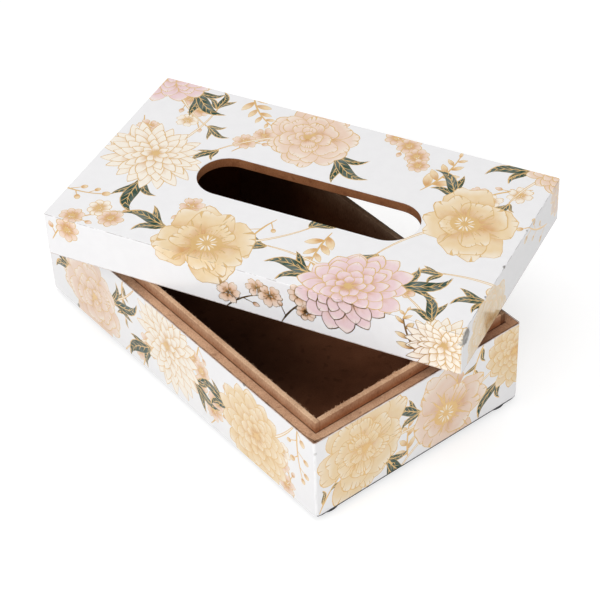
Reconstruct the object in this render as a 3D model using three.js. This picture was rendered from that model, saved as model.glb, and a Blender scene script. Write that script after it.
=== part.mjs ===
import * as THREE from 'three';

// A tissue box of MDF boards under a printed film: a tray whose inner rim stands proud of its
// walls, and a loose lid with a round-ended slot. Millimetres, +Z up. X runs along the tray's
// long sides and -Y is its front. The lid lies askew across the rim, as in the photograph. The
// origin is on the surface that the feet stand on, straight below the lid's centre.

// Sizes of the tray. Its heights are counted from the black sheet's underside.
const trayLength = 260; // outside, over the film, along X
const trayWidth = 149.6; // outside, over the film, along Y
const trayHeight = 57; // to the top of the walls
const trayBoardThickness = 5.5;
const floorThickness = 3;
const rimThickness = 3;
const rimProud = 7.3; // how far the rim stands above the walls
const sheetThickness = 1; // the black sheet under the floor

// Sizes of the film and its glue
const filmThickness = 0.4;
const glueLine = 0.1; // between upright faces that are glued together

// Sizes of the feet
const footRadius = 10;
const footHeight = 3;
const footEdgeRadius = 1.2; // the rounding of a foot's lower edge
const footEndInset = 10.8; // from the tray's end face to a foot's centre
const footSideInset = 12.5; // from the tray's long face to a foot's centre

// Sizes of the lid
const lidHeight = 29; // outside, over the film
const lidBoardThickness = 5.5;
const lidTopThickness = 6;
const lidClearance = 0.35; // on each side of the rim when the lid is closed
const slotLength = 140.5; // over the round ends
const slotWidth = 36.4;
const slotAsideX = 3.2; // the slot's centre, off the lid's centre
const slotAsideY = -0.95;

// How the lid lies on the tray
const lidTurn = 25.5; // degrees, anticlockwise from above
const trayAsideX = 3.5; // the tray's centre, off the lid's centre
const trayAsideY = -26.35;
const lidRestGap = 0.3; // between the rim and the lid that lies on it

// How finely the round forms are drawn
const slotArcSteps = 24;
const footRoundSteps = 48;
const footEdgeSteps = 5;

// Sizes that follow
const skin = filmThickness + glueLine;
const rimLength = trayLength - 2 * (skin + trayBoardThickness + glueLine);
const rimWidth = trayWidth - 2 * (skin + trayBoardThickness + glueLine);
const floorTop = sheetThickness + floorThickness;
const rimTop = trayHeight + rimProud;
const lidBoardLength = rimLength + 2 * (lidClearance + lidBoardThickness);
const lidBoardWidth = rimWidth + 2 * (lidClearance + lidBoardThickness);
const lidLength = lidBoardLength + 2 * skin;
const lidWidth = lidBoardWidth + 2 * skin;
const lidFilmBottom = lidHeight - filmThickness; // the underside of the film on the top
const lidBoardsTop = lidFilmBottom - lidTopThickness; // where the top board lies on the sides

// Materials
function mdf() {
  return new THREE.MeshStandardMaterial({ color: '#b98a66', roughness: 0.85, metalness: 0 });
}

function printedFilm() {
  return new THREE.MeshStandardMaterial({ color: '#eeeef0', roughness: 0.2, metalness: 0 });
}

function blackSheet() {
  return new THREE.MeshStandardMaterial({ color: '#161616', roughness: 0.8, metalness: 0 });
}

function blackRubber() {
  return new THREE.MeshStandardMaterial({ color: '#1c1c1c', roughness: 0.65, metalness: 0 });
}

function piece(name, geometry, material) {
  const mesh = new THREE.Mesh(geometry, material);
  mesh.name = name;
  return mesh;
}

// A block from its low corner to its high corner. Blocks that meet are given the same numbers,
// so they meet exactly.
function block(low, high) {
  const geometry = new THREE.BoxGeometry(1, 1, 1);
  const corners = geometry.attributes.position;
  for (let i = 0; i < corners.count; i += 1) {
    const sides = [corners.getX(i), corners.getY(i), corners.getZ(i)];
    corners.setXYZ(i, ...sides.map((side, axis) => (side < 0 ? low[axis] : high[axis])));
  }
  return geometry;
}

// A block centred on Z, given by its length, its width and the heights of its two faces.
function slab(length, width, bottom, top) {
  return block([-length / 2, -width / 2, bottom], [length / 2, width / 2, top]);
}

// Four upright pieces inside a rectangle. The front and back run its full length, and the two
// ends fit between them and can start higher.
function fourSides({ nameOf, length, width, thickness, bottom, endBottom = bottom, top, material }) {
  const x = length / 2;
  const y = width / 2;
  const endY = y - thickness - glueLine;
  return [
    piece(nameOf('front'), block([-x, -y, bottom], [x, thickness - y, top]), material()),
    piece(nameOf('back'), block([-x, y - thickness, bottom], [x, y, top]), material()),
    piece(nameOf('left'), block([-x, -endY, endBottom], [thickness - x, endY, top]), material()),
    piece(nameOf('right'), block([x - thickness, -endY, endBottom], [x, endY, top]), material()),
  ];
}

// A rectangle on the lid's top with the slot through it.
function slottedSlab(length, width, bottom, top) {
  const x = length / 2;
  const y = width / 2;
  const outline = new THREE.Shape();
  outline.moveTo(-x, -y).lineTo(x, -y).lineTo(x, y).lineTo(-x, y).closePath();

  const endRadius = slotWidth / 2;
  const toEndCentre = slotLength / 2 - endRadius;
  const slot = new THREE.Path();
  slot.absarc(slotAsideX + toEndCentre, slotAsideY, endRadius, -Math.PI / 2, Math.PI / 2);
  slot.absarc(slotAsideX - toEndCentre, slotAsideY, endRadius, Math.PI / 2, 1.5 * Math.PI);
  slot.closePath();
  outline.holes.push(slot);

  const settings = { depth: top - bottom, bevelEnabled: false, curveSegments: slotArcSteps };
  const geometry = new THREE.ExtrudeGeometry(outline, settings);
  const points = geometry.attributes.position;
  for (let i = 0; i < points.count; i += 1) {
    points.setZ(i, points.getZ(i) > 0 ? top : bottom);
  }
  return geometry;
}

// A rubber foot under the sheet, with its lower edge rounded.
function foot() {
  const profile = [new THREE.Vector2(0, 0), new THREE.Vector2(0, -footHeight)];
  for (let i = 0; i <= footEdgeSteps; i += 1) {
    const angle = (i / footEdgeSteps) * (Math.PI / 2);
    const radius = footRadius - footEdgeRadius * (1 - Math.sin(angle));
    const height = footEdgeRadius * (1 - Math.cos(angle)) - footHeight;
    profile.push(new THREE.Vector2(radius, height));
  }
  profile.push(new THREE.Vector2(footRadius, 0), new THREE.Vector2(0, 0));
  return new THREE.LatheGeometry(profile, footRoundSteps).rotateX(Math.PI / 2);
}

function tray() {
  const group = new THREE.Group();
  group.add(
    ...fourSides({
      nameOf: (side) => `tray_${side}_board`,
      length: trayLength - 2 * skin,
      width: trayWidth - 2 * skin,
      thickness: trayBoardThickness,
      bottom: sheetThickness,
      top: trayHeight,
      material: mdf,
    }),
    piece('tray_floor_board', slab(rimLength, rimWidth, sheetThickness, floorTop), mdf()),
    ...fourSides({
      nameOf: (side) => `rim_${side}_strip`,
      length: rimLength,
      width: rimWidth,
      thickness: rimThickness,
      bottom: floorTop,
      top: rimTop,
      material: mdf,
    }),
    // The film of the long sides covers the sheet's edge. At the ends the sheet's edge is bare.
    ...fourSides({
      nameOf: (side) => `tray_${side}_film`,
      length: trayLength,
      width: trayWidth,
      thickness: filmThickness,
      bottom: 0,
      endBottom: sheetThickness,
      top: trayHeight,
      material: printedFilm,
    }),
    piece('base_sheet', slab(trayLength, trayWidth - 2 * skin, 0, sheetThickness), blackSheet()),
  );

  const rows = { front: -1, back: 1 };
  const columns = { left: -1, right: 1 };
  for (const [row, rowSign] of Object.entries(rows)) {
    for (const [column, columnSign] of Object.entries(columns)) {
      const mesh = piece(`foot_${row}_${column}`, foot(), blackRubber());
      mesh.position.x = columnSign * (trayLength / 2 - footEndInset);
      mesh.position.y = rowSign * (trayWidth / 2 - footSideInset);
      group.add(mesh);
    }
  }
  group.position.set(trayAsideX, trayAsideY, footHeight);
  return group;
}

function lid() {
  const group = new THREE.Group();
  group.add(
    ...fourSides({
      nameOf: (side) => `lid_${side}_board`,
      length: lidBoardLength,
      width: lidBoardWidth,
      thickness: lidBoardThickness,
      bottom: 0,
      top: lidBoardsTop,
      material: mdf,
    }),
    piece(
      'lid_top_board',
      slottedSlab(lidBoardLength, lidBoardWidth, lidBoardsTop, lidFilmBottom),
      mdf(),
    ),
    ...fourSides({
      nameOf: (side) => `lid_${side}_film`,
      length: lidLength,
      width: lidWidth,
      thickness: filmThickness,
      bottom: 0,
      top: lidFilmBottom,
      material: printedFilm,
    }),
    piece('lid_top_film', slottedSlab(lidLength, lidWidth, lidFilmBottom, lidHeight), printedFilm()),
  );
  group.position.z = footHeight + rimTop + lidRestGap;
  group.rotation.z = THREE.MathUtils.degToRad(lidTurn);
  return group;
}

const tissueBox = new THREE.Group();
tissueBox.add(tray(), lid());

export default tissueBox;
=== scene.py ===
# %% [markdown]
# # A tissue box with a loose lid
#
# The real object is a box of brown fibreboard under a glossy printed film. A thin inner rim
# stands above the walls of its tray, and the lid lies askew on that rim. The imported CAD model
# could be shown as it is, but its boards are sharp and bare, so this script dresses it: each
# new piece takes its size and place from a CAD node, and the CAD itself stays untouched.

# %% Load the frame
import math
import random
from collections import namedtuple

import bmesh
import bpy
import numpy as np
from mathutils import Matrix, Vector, noise
from mathutils.geometry import delaunay_2d_cdt


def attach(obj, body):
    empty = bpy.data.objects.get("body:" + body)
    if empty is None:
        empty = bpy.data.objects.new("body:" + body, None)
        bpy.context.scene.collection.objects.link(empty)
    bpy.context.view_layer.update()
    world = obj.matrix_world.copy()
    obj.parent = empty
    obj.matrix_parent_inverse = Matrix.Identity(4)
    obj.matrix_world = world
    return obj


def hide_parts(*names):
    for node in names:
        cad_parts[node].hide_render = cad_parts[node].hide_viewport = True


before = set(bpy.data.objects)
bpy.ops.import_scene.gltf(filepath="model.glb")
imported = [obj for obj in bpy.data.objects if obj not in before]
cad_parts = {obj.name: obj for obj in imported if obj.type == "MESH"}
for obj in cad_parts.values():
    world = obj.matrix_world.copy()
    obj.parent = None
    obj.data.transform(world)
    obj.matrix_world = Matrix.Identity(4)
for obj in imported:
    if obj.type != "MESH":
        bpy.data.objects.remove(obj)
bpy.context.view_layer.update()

# %% [markdown]
# ## Each body's own axes
#
# The lid is turned about Z, so its boards aren't in line with X and Y. Their sizes could be
# typed in, but then they would drift from the CAD. Here the turn is read from the way a board's
# largest face looks, and every piece is made in millimetres along its body's own axes. The
# finished mesh is then turned and brought to metres.

# %% Turns and sizes
MM = 0.001


def turn_of(node):
    """How far a node is turned about Z."""
    largest = max(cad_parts[node].data.polygons, key=lambda face: face.area)
    facing = largest.normal * math.copysign(1, largest.normal.y)
    return math.atan2(-facing.x, facing.y)


TURN = {"tray": 0.0, "lid": turn_of("lid_front_board")}


def own_points(node, body):
    """A node's points along its body's own axes, in metres."""
    spin = Matrix.Rotation(-TURN[body], 3, "Z")
    return [spin @ vertex.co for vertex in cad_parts[node].data.vertices]


def own_box(node, body):
    """A node's lowest and highest corner along its body's own axes, in millimetres."""
    places = np.array(own_points(node, body)) / MM
    return places.min(0), places.max(0)


def finished(name, body, mesh_maker, finish, nodes, slot):
    """Turns a bmesh into a piece that rides on its body and stands for its CAD nodes."""
    mesh = bpy.data.meshes.new(name)
    mesh_maker.to_mesh(mesh)
    mesh_maker.free()
    mesh.transform(Matrix.Rotation(TURN[body], 4, "Z") @ Matrix.Scale(MM, 4))
    mesh.materials.append(finish)
    piece = bpy.data.objects.new(name, mesh)
    bpy.context.scene.collection.objects.link(piece)
    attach(piece, body)
    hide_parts(*nodes)
    return piece


print("lid turned", round(math.degrees(TURN["lid"]), 2), "degrees")

# %% [markdown]
# ## Camera
#
# A product photograph is taken from far away with a long lens. The place and the angles come
# from a fit of the tray's and the lid's straight edges, so that the CAD lies on the photograph.
# A level camera would be simpler, but the real one was tipped by almost two degrees.

# %% Camera
SENSOR = 36.0
CAMERA_PLACE = (0.7375, -0.5653, 0.8163)
CAMERA_ANGLES = (49.280, 1.737, 51.290)
CAMERA_LENS = 121.48

camera_data = bpy.data.cameras.new("camera")
camera_data.sensor_width = SENSOR
camera_data.lens = CAMERA_LENS
camera_data.clip_start, camera_data.clip_end = 0.01, 20.0
camera = bpy.data.objects.new("camera", camera_data)
camera.location = CAMERA_PLACE
camera.rotation_euler = [math.radians(angle) for angle in CAMERA_ANGLES]
bpy.context.scene.collection.objects.link(camera)
bpy.context.scene.camera = camera
bpy.context.scene.view_settings.view_transform = "Standard"
print("camera", [round(x, 3) for x in camera.location], "lens", CAMERA_LENS)

# %% [markdown]
# ## Node maths as plain expressions
#
# A material is a graph of nodes. Linking each one by hand hides the idea behind the wiring, so
# a small class stands for a value on its way through the graph: adding or multiplying it adds
# the Math node. Every other node comes from one method, which takes the node's type, its
# settings and the values or links of its sockets.


# %% A value on its way
class Wire:
    """A value in a material. Arithmetic on it adds Math nodes."""

    def __init__(self, finish, socket):
        self.finish, self.socket = finish, socket

    def __add__(self, other):
        return self.finish.maths("ADD", self, other)

    def __sub__(self, other):
        return self.finish.maths("SUBTRACT", self, other)

    def __rsub__(self, other):
        return self.finish.maths("SUBTRACT", other, self)

    def __mul__(self, other):
        return self.finish.maths("MULTIPLY", self, other)

    def __truediv__(self, other):
        return self.finish.maths("DIVIDE", self, other)

    def __rtruediv__(self, other):
        return self.finish.maths("DIVIDE", other, self)

    def __abs__(self):
        return self.finish.maths("ABSOLUTE", self)

    __radd__, __rmul__ = __add__, __mul__


print("signs that add a Math node: + - * / and abs")


# %% A finish under construction
class Finish:
    """A material under construction."""

    def __init__(self, name):
        self.material = bpy.data.materials.new(name)
        self.material.use_nodes = True
        self.tree = self.material.node_tree
        self.shader = self.tree.nodes["Principled BSDF"]

    def put(self, socket, value):
        if isinstance(value, Wire):
            self.tree.links.new(value.socket, socket)
        else:
            socket.default_value = value

    def node(self, kind, settings=None, sockets=None, output=0):
        """Adds a node: its settings come first, then its sockets, by name or by number."""
        node = self.tree.nodes.new("ShaderNode" + kind)
        for name, value in (settings or {}).items():
            setattr(node, name, value)
        for name, value in (sockets or {}).items():
            self.put(node.inputs[name], value)
        return Wire(self, node.outputs[output])

    def maths(self, operation, *values, clamp=False):
        settings = {"operation": operation, "use_clamp": clamp}
        return self.node("Math", settings, dict(enumerate(values)))

    def surface(self, sockets):
        """Sets the sockets of the shader itself."""
        for name, value in sockets.items():
            self.put(self.shader.inputs[name], value)

    def place(self):
        """Where a point is on its piece, in millimetres."""
        metres = self.node("TexCoord", output=3)
        return self.node("VectorMath", {"operation": "SCALE"}, {0: metres, "Scale": 1 / MM})

    def stretch(self, vector, by):
        return self.node("VectorMath", {"operation": "MULTIPLY"}, {0: vector, 1: by})

    def part(self, vector, axis):
        """One of a vector's three numbers."""
        return self.node("SeparateXYZ", None, {0: vector}, output=axis)

    def apart(self, first, second):
        """How far two places are from each other."""
        return self.node("VectorMath", {"operation": "DISTANCE"}, {0: first, 1: second}, output=1)

    def larger(self, first, second):
        return self.maths("MAXIMUM", first, second)

    def noise(self, vector, size, detail=2.0, roughness=0.5):
        """Soft noise with lumps of about that size, in the vector's own units."""
        sockets = {"Vector": vector, "Scale": 1 / size, "Detail": detail, "Roughness": roughness}
        return self.node("TexNoise", None, sockets)

    def ease(self, value, low, high, start=0.0, end=1.0):
        """Goes smoothly from start to end while the value goes from low to high."""
        sockets = {0: value, 1: low, 2: high, 3: start, 4: end}
        return self.node("MapRange", {"interpolation_type": "SMOOTHSTEP"}, sockets)

    def blend(self, share, first, second, way="MIX"):
        """Mixes two colours."""
        settings = {"data_type": "RGBA", "blend_type": way}
        return self.node("Mix", settings, {0: share, 6: first, 7: second}, output=2)

    def bump(self, height, depth, strength=1.0):
        """Dents and bumps from a height of 0 to 1 that is that many millimetres high."""
        sockets = {"Height": height, "Distance": depth * MM, "Strength": strength}
        return self.node("Bump", None, sockets)


def paint(code):
    """A colour such as "#e4c4aa", as linear red, green, blue and alpha."""
    parts = [int(code[i : i + 2], 16) / 255 for i in (1, 3, 5)]
    return [p / 12.92 if p <= 0.04045 else ((p + 0.055) / 1.055) ** 2.4 for p in parts] + [1.0]


print("white paper as linear numbers", [round(x, 3) for x in paint("#ecedf1")])

# %% [markdown]
# ## Fibreboard
#
# The boards are pressed wood fibre: a warm brown that is smooth on the pressed faces, and
# lighter, furry and speckled where a saw went through. A picture of the board would repeat and
# blur, so the colour comes from noise at three sizes: clouds of a centimetre or two, fibres of
# under a millimetre and fine dust. The same noise drives the bump.


# %% Fibreboard finish
FIBRE, DUST, CLOUD, STAIN, CHIP = 0.7, 0.22, 16, 5, 0.9  # how large each is, in millimetres
# The brown of grime, and of painted shade in the creases.
GRIME_AND_SHADE_BROWN = "#3d2417"


def fibreboard(name, dark, middle, light, depth, grain=(1, 1, 1), shades=(), grime_and_shade=None):
    """A finish from a dark, a middle and a light brown. depth is the fibres' height in mm.

    shades are functions that say where the board is darker, from its own browner tone and from
    painted shade, each with its tint. The last argument says where grime and painted shade lie.
    """
    board = Finish(name)
    place = board.place()
    fibres = board.noise(board.stretch(place, grain), FIBRE, 4, 0.65)
    dust = board.noise(place, DUST, 2, 0.6)
    clouds = board.noise(place, CLOUD, 3, 0.55)
    tone = board.ease(fibres * 0.5 + dust * 0.3 + clouds * 0.35, 0.38, 0.78)
    colour = board.blend(tone, paint(dark), paint(light))
    colour = board.blend(0.42, colour, paint(middle))
    stains = board.ease(board.noise(place, STAIN, 1), 0.62, 0.74, 0, 0.45)
    colour = board.blend(stains, colour, paint(dark))
    chips = board.ease(board.noise(place, CHIP, 3, 0.6), 0.66, 0.72, 0, 0.6)
    colour = board.blend(chips, colour, paint(light))
    for shade, tint in shades:
        colour = board.blend(shade(board, place), colour, paint(tint), "MULTIPLY")
    if grime_and_shade:
        # Grime and painted shade in the creases and along the film.
        grime = grime_and_shade(board, place) * board.ease(fibres, 0.2, 0.6, 0.75, 1.0)
        colour = board.blend(grime, colour, paint(GRIME_AND_SHADE_BROWN))
    board.surface(
        {
            "Base Color": colour,
            "Roughness": board.ease(dust, 0.3, 0.7, 0.72, 0.92),
            "Specular IOR Level": 0.15,
            "Normal": board.bump(fibres * 0.6 + dust * 0.4, depth),
        }
    )
    return board.material


print("fibres of", FIBRE, "mm, clouds of", CLOUD, "mm")

# %% [markdown]
# ## Where the boards are darker
#
# The real boards aren't one brown, and part of what darkens them here is painted shade. A thin
# dark line of grime and painted shade lies in the crease between ledge and rim and another along
# the film. The rim's sides are pressed and browner than its sawn top, most of all at the ends, and
# low down and in the well they get painted shade. The inside falls off to near black in the front
# left corner, a painted shadow where the light hardly reaches under the lid, and the ledge gets
# painted shade towards the back. All of it depends on where a point is, so it is worked out from
# the point's distances to the CAD's own faces and not by hand.

# %% Lines of grime and painted shade
rim_low = np.min([own_box(f"rim_{side}_strip", "tray")[0] for side in ("front", "left")], 0)
rim_high = np.max([own_box(f"rim_{side}_strip", "tray")[1] for side in ("back", "right")], 0)
walls_low, _ = own_box("tray_front_board", "tray")
_, walls_high = own_box("tray_back_board", "tray")
wall_top, rim_top = float(walls_high[2]), float(rim_high[2])
# Grime and painted shade are at full strength this near to a line, and gone this far.
TIGHT, GRIME_SHADE_REACH = 0.1, 0.7  # grime is at full strength this near to a line, and gone this far
CHIP_CORE, CHIP_REACH = 1.0, 8.0  # the same for the chipped corner


def beside_box(board, place, low, high):
    """How far outside the upright faces of a box a point is, to X and to Y, and its height."""
    x, y, z = (board.part(place, axis) for axis in range(3))
    centre, half = (low + high) / 2, (high - low) / 2
    beyond_x = abs(x - float(centre[0])) - float(half[0])
    beyond_y = abs(y - float(centre[1])) - float(half[1])
    return beyond_x, beyond_y, z


def grime_and_shade_line(board, place, low, high, share, wider=0.0):
    """Grime and painted shade along the line where a box's upright faces meet the wall's top level.
    """
    beyond_x, beyond_y, z = beside_box(board, place, low, high)
    aside = abs(board.larger(beyond_x, beyond_y))
    off_line = board.larger(aside, abs(z - wall_top)) - wider
    broken = board.ease(board.noise(place, 3.5, 2), 0.35, 0.6, 0.45, 1.0)
    return board.ease(off_line, TIGHT, GRIME_SHADE_REACH, share, 0) * broken


def crease(board, place):
    """Grime and painted shade where the ledge meets the rim."""
    return grime_and_shade_line(board, place, rim_low, rim_high, 0.78)


def crease_film_grime_shade(board, place):
    """Grime and painted shade on the ledge: in the crease, along the film and on the chipped near
    corner.
    """
    chip = tuple(float(c) for c in (walls_high[0], walls_low[1], wall_top))
    chipped = board.ease(board.apart(place, chip), CHIP_CORE, CHIP_REACH, 1.3, 0)
    along_film = grime_and_shade_line(board, place, walls_low, walls_high, 0.95, chipped)
    return board.larger(crease(board, place), along_film)


print("ledge at", round(wall_top, 2), "mm, rim's top at", round(rim_top, 2), "mm")

# %% Browner sides and painted shade
RIM_THICK = float(np.ptp(own_box("rim_front_strip", "tray"), 0)[1])
SAW_CUT = 0.4  # how far the light sawn top runs down the strips' sides


def painted_lid_shade(board, place):
    """Painted shade: the ledge gets browner towards the back, where the lid keeps it from the
    light.
    """
    front, back = float(walls_low[1]), float(walls_high[1])
    return board.ease(board.part(place, 1), front + 15, back - 15, 0, 0.42)


def sides_brown_and_shade(board, place):
    """Brown on the strips' pressed sides and at the ends, with painted shade low down and in the
    well.
    """
    beyond_x, _, z = beside_box(board, place, rim_low, rim_high)
    ragged = z + board.noise(place, 0.9, 2) * 0.5
    below_top = board.ease(ragged, rim_top - SAW_CUT, rim_top, 1, 0)
    end_faces = board.ease(ragged, wall_top, wall_top + 2.5, 0, 0.1)
    end_faces = end_faces * board.ease(beyond_x, -0.9, -0.2)
    end_strips = board.ease(beyond_x, -RIM_THICK - 0.4, -RIM_THICK, 0, 0.17)
    # Painted shade: darker low down towards the ledge, and down in the well.
    painted_low_shade = board.ease(ragged, wall_top, rim_top, 0.38, 0)
    painted_well_shade = board.ease(z, wall_top - 14, wall_top, 0.2, 0)
    return (0.28 + end_faces) * below_top + end_strips + painted_low_shade + painted_well_shade


def painted_unlit_shade(board, place):
    """Painted shadow: darker from the back right corner, where light gets in, to the front left
    one, where none does.
    """
    x, y = (board.part(place, axis) for axis in range(2))
    dark, bright = float(rim_low[:2].sum()), float(rim_high[:2].sum())
    return board.ease((x + y - dark) / (bright - dark), 0.42, 0.8, 0.76, 0)


def painted_strip_shade(board, place):
    """The same painted shadow on the strips' inner faces, and painted shade on the back one's top,
    under the lid.
    """
    beyond_x, beyond_y, _ = beside_box(board, place, rim_low, rim_high)
    beyond = board.larger(beyond_x, beyond_y)
    inner = board.ease(beyond, 0.2 - RIM_THICK, 0.6 - RIM_THICK, 1, 0)
    back_face = float(rim_high[1]) - RIM_THICK
    painted_back_top_shade = board.ease(board.part(place, 1), back_face - 1, back_face, 0, 0.5)
    return board.larger(painted_unlit_shade(board, place) * inner, painted_back_top_shade)


print("rim", round(RIM_THICK, 2), "mm thick")

# %% Make the fibreboards
# The first tint browns the strips' sides and paints shade on them and on the ledge; the second
# paints the shadow inside.
BROWN_AND_SHADE, PAINTED_SHADE_BLACK = "#9d6331", "#120f0e"
pressed = fibreboard(
    "fibreboard_pressed",
    "#7f5438",
    "#c19576",
    "#eecaa8",
    0.05,
    shades=[(painted_lid_shade, BROWN_AND_SHADE)],
    grime_and_shade=crease_film_grime_shade,
)
sawn = fibreboard(
    "fibreboard_sawn",
    "#8a6046",
    "#c79d7b",
    "#eccdac",
    0.16,
    (1, 1, 0.35),
    [(sides_brown_and_shade, BROWN_AND_SHADE), (painted_strip_shade, PAINTED_SHADE_BLACK)],
    crease,
)
# The slot's wall: a darker brown that is painted shade.
cut_edge_shaded = fibreboard("fibreboard_cut_shaded", "#633821", "#845435", "#a4724e", 0.1)
# The inside is a darker brown, partly painted shade, with a painted shadow towards the front left.
inside = fibreboard(
    "fibreboard_inside_shaded", "#683c26", "#8e583b", "#b47756", 0.05, shades=[(painted_unlit_shade, PAINTED_SHADE_BLACK)]
)
print("fibreboard finishes", [made.name for made in (pressed, sawn, cut_edge_shaded, inside)])

# %% [markdown]
# ## Boards with worn edges
#
# A sawn board's edge is never a straight line: fibres tear out and the corner crumbles by a few
# tenths of a millimetre. A Bevel modifier would give an even chamfer, so the board is a fine
# grid instead. Each point near an edge is drawn onto a small round whose radius wanders with
# noise, and points on the flat faces don't move. The tray's lower corners have been knocked, so
# everything there gives way together, board, sheet and film.


# %% Knocked corners
BRUISE_REACH, BRUISE_DEPTH = 3.6, 1.1
tray_low, tray_high = own_box("tray_front_film", "tray")[0], own_box("tray_back_film", "tray")[1]


def bruised(point, body):
    """Where a point goes when the tray's lower corners are knocked in a little."""
    point = Vector(point)
    if body == "tray" and point.z < tray_low[2] + BRUISE_REACH:
        middle = (tray_low + tray_high) / 2
        corner = Vector([tray_low[i] if point[i] < middle[i] else tray_high[i] for i in range(3)])
        inward = Vector([math.copysign(1, middle[i] - corner[i]) for i in range(3)]).normalized()
        near = max(0.0, 1 - (point - corner).length / BRUISE_REACH)
        point += inward * BRUISE_DEPTH * near**2
    return point


print("tray from", tray_low.round(2), "to", tray_high.round(2))

# %% Worn boards
SHORT_WAY, COARSE = 20.0, 3.0  # along a side shorter than this the grid is this coarse
SHARPEST = 0.04  # no edge is rounded less than this


def stations(low, high, step, edge):
    """Grid lines from low to high, close together near the ends."""
    inner = np.linspace(low + edge, high - edge, max(2, round((high - low) / step)))
    near = [0.0, 0.35 * edge, 0.7 * edge]
    lines = [*(low + n for n in near), *inner, *(high - n for n in near)]
    return sorted({round(x, 5) for x in lines})


def grid_box(low, high, step, edge):
    """The surface of a box as a closed bmesh of small squares."""
    lines = [stations(low[axis], high[axis], step[axis], edge) for axis in range(3)]
    made, points = bmesh.new(), {}

    def point(*place):
        if place not in points:
            points[place] = made.verts.new(place)
        return points[place]

    for axis in range(3):
        a, b = (axis + 1) % 3, (axis + 2) % 3
        for level in (lines[axis][0], lines[axis][-1]):
            for i in range(len(lines[a]) - 1):
                for j in range(len(lines[b]) - 1):
                    corners = []
                    for di, dj in ((0, 0), (1, 0), (1, 1), (0, 1)):
                        place = [0.0] * 3
                        place[axis], place[a], place[b] = level, lines[a][i + di], lines[b][j + dj]
                        corners.append(point(*place))
                    made.faces.new(corners if level == lines[axis][-1] else corners[::-1])
    return made


def wear_edges(made, low, high, radius, ragged, size=1.3):
    """Draws the edges of a box onto a round that wanders between the given shares of radius."""
    low, high = Vector(low), Vector(high)
    for vertex in made.verts:
        wander = 1 + ragged * noise.noise(vertex.co / size)
        reach = max(SHARPEST, radius * wander)
        core = Vector([min(max(c, l + reach), h - reach) for c, l, h in zip(vertex.co, low, high)])
        out = vertex.co - core
        if out.length > reach:
            vertex.co = core + out.normalized() * reach


def board(name, body, finish, radius=0.35, ragged=0.6, step=2.0, fuzz=None, slot="mdf"):
    """A board that stands for the CAD node of its name."""
    low, high = own_box(name, body)
    steps = [step if high[axis] - low[axis] > SHORT_WAY else COARSE for axis in range(3)]
    made = grid_box(low, high, steps, radius * 1.5)
    wear_edges(made, low, high, radius, ragged)
    for vertex in made.verts:
        vertex.co = bruised(vertex.co, body)
    if fuzz:
        fuzz(made, low, high)
    return finished(name + "_worn", body, made, finish, [name], slot)


print("grid lines across a 6 mm wall", stations(0, 6, COARSE, 0.5))

# %% [markdown]
# ## Fuzz on the sawn rim
#
# Where the saw left the rim's inner edge, tufts of torn fibre stand out and catch the light.
# Hair particles would do, but they can't be exported, so each fibre is a tiny three-sided spike
# with a bend in it, rooted in the board.

# %% Fuzz
TUFT_GAP, TUFT_SUNK, TUFT_CLEAR = 1.6, 0.3, 3.2  # apart, below the edge, clear of the ends
fuzz_dice = random.Random(7)


def spike(made, root, way, length, thick):
    """A bent fibre from a three-sided root to a tip."""
    side = way.orthogonal().normalized()
    turned = [Matrix.Rotation(2 * math.pi * i / 3, 3, way) @ side * thick for i in range(3)]
    middle = root + way * length * 0.55
    tip = root + (way + side * fuzz_dice.uniform(-0.5, 0.5)) * length
    foot = [made.verts.new(root + t) for t in turned]
    knee = [made.verts.new(middle + t * 0.6) for t in turned]
    point = made.verts.new(tip)
    made.faces.new(foot[::-1])
    for i in range(3):
        j = (i + 1) % 3
        made.faces.new((foot[i], foot[j], knee[j], knee[i]))
        made.faces.new((knee[i], knee[j], point))


def fuzzy(axis, inner):
    """Tufts along a strip's inner top edge. axis runs along the strip, and inner points inwards."""
    inner = Vector(inner)
    across = 1 - axis

    def add(made, low, high):
        for _ in range(round((high[axis] - low[axis]) / TUFT_GAP)):
            spot = Vector((low + high) / 2)
            spot.z = high[2] - TUFT_SUNK
            spot[axis] = fuzz_dice.uniform(low[axis] + TUFT_CLEAR, high[axis] - TUFT_CLEAR)
            spot[across] = (high if inner[across] > 0 else low)[across] - TUFT_SUNK * inner[across]
            for _ in range(fuzz_dice.choice((1, 1, 2, 3, 5))):
                root = spot.copy()
                root[axis] += fuzz_dice.uniform(-0.35, 0.35)
                lean = Vector([fuzz_dice.uniform(-0.7, 0.7) for _ in range(3)])
                way = inner * fuzz_dice.uniform(0.2, 1.1) + Vector((0, 0, 0.8)) + lean
                length, thick = fuzz_dice.uniform(0.6, 1.4), fuzz_dice.uniform(0.12, 0.26)
                spike(made, root, way.normalized(), length, thick)

    return add


FUZZ = {
    "front": fuzzy(0, (0, 1, 0)),
    "back": fuzzy(0, (0, -1, 0)),
    "left": fuzzy(1, (1, 0, 0)),
    "right": fuzzy(1, (-1, 0, 0)),
}
SIDES = ("front", "back", "left", "right")
boards = [board(f"tray_{side}_board", "tray", pressed) for side in SIDES]
boards += [board(f"rim_{side}_strip", "tray", sawn, 0.6, 0.8, 1.2, FUZZ[side]) for side in SIDES]
boards += [board(f"lid_{side}_board", "lid", inside) for side in SIDES]
print("boards", len(boards), "points", sum(len(piece.data.vertices) for piece in boards))

# %% [markdown]
# ## Boards that stay as the CAD has them
#
# The tray's floor and the lid's slotted top board already have the right shape, and their edges
# are hidden or fine as they are. They keep their meshes and get the fibreboard in their
# material slots. All that shows of the top board is the slot's wall, which gets a darker brown
# as painted shade.


# %% Carried-over fibreboard
def refinish(node, material):
    """Gives a CAD node a better material and leaves its mesh alone."""
    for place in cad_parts[node].material_slots:
        place.material = material


refinish("tray_floor_board", inside)
refinish("lid_top_board", cut_edge_shaded)
print("floor board and top board keep their meshes")

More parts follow.
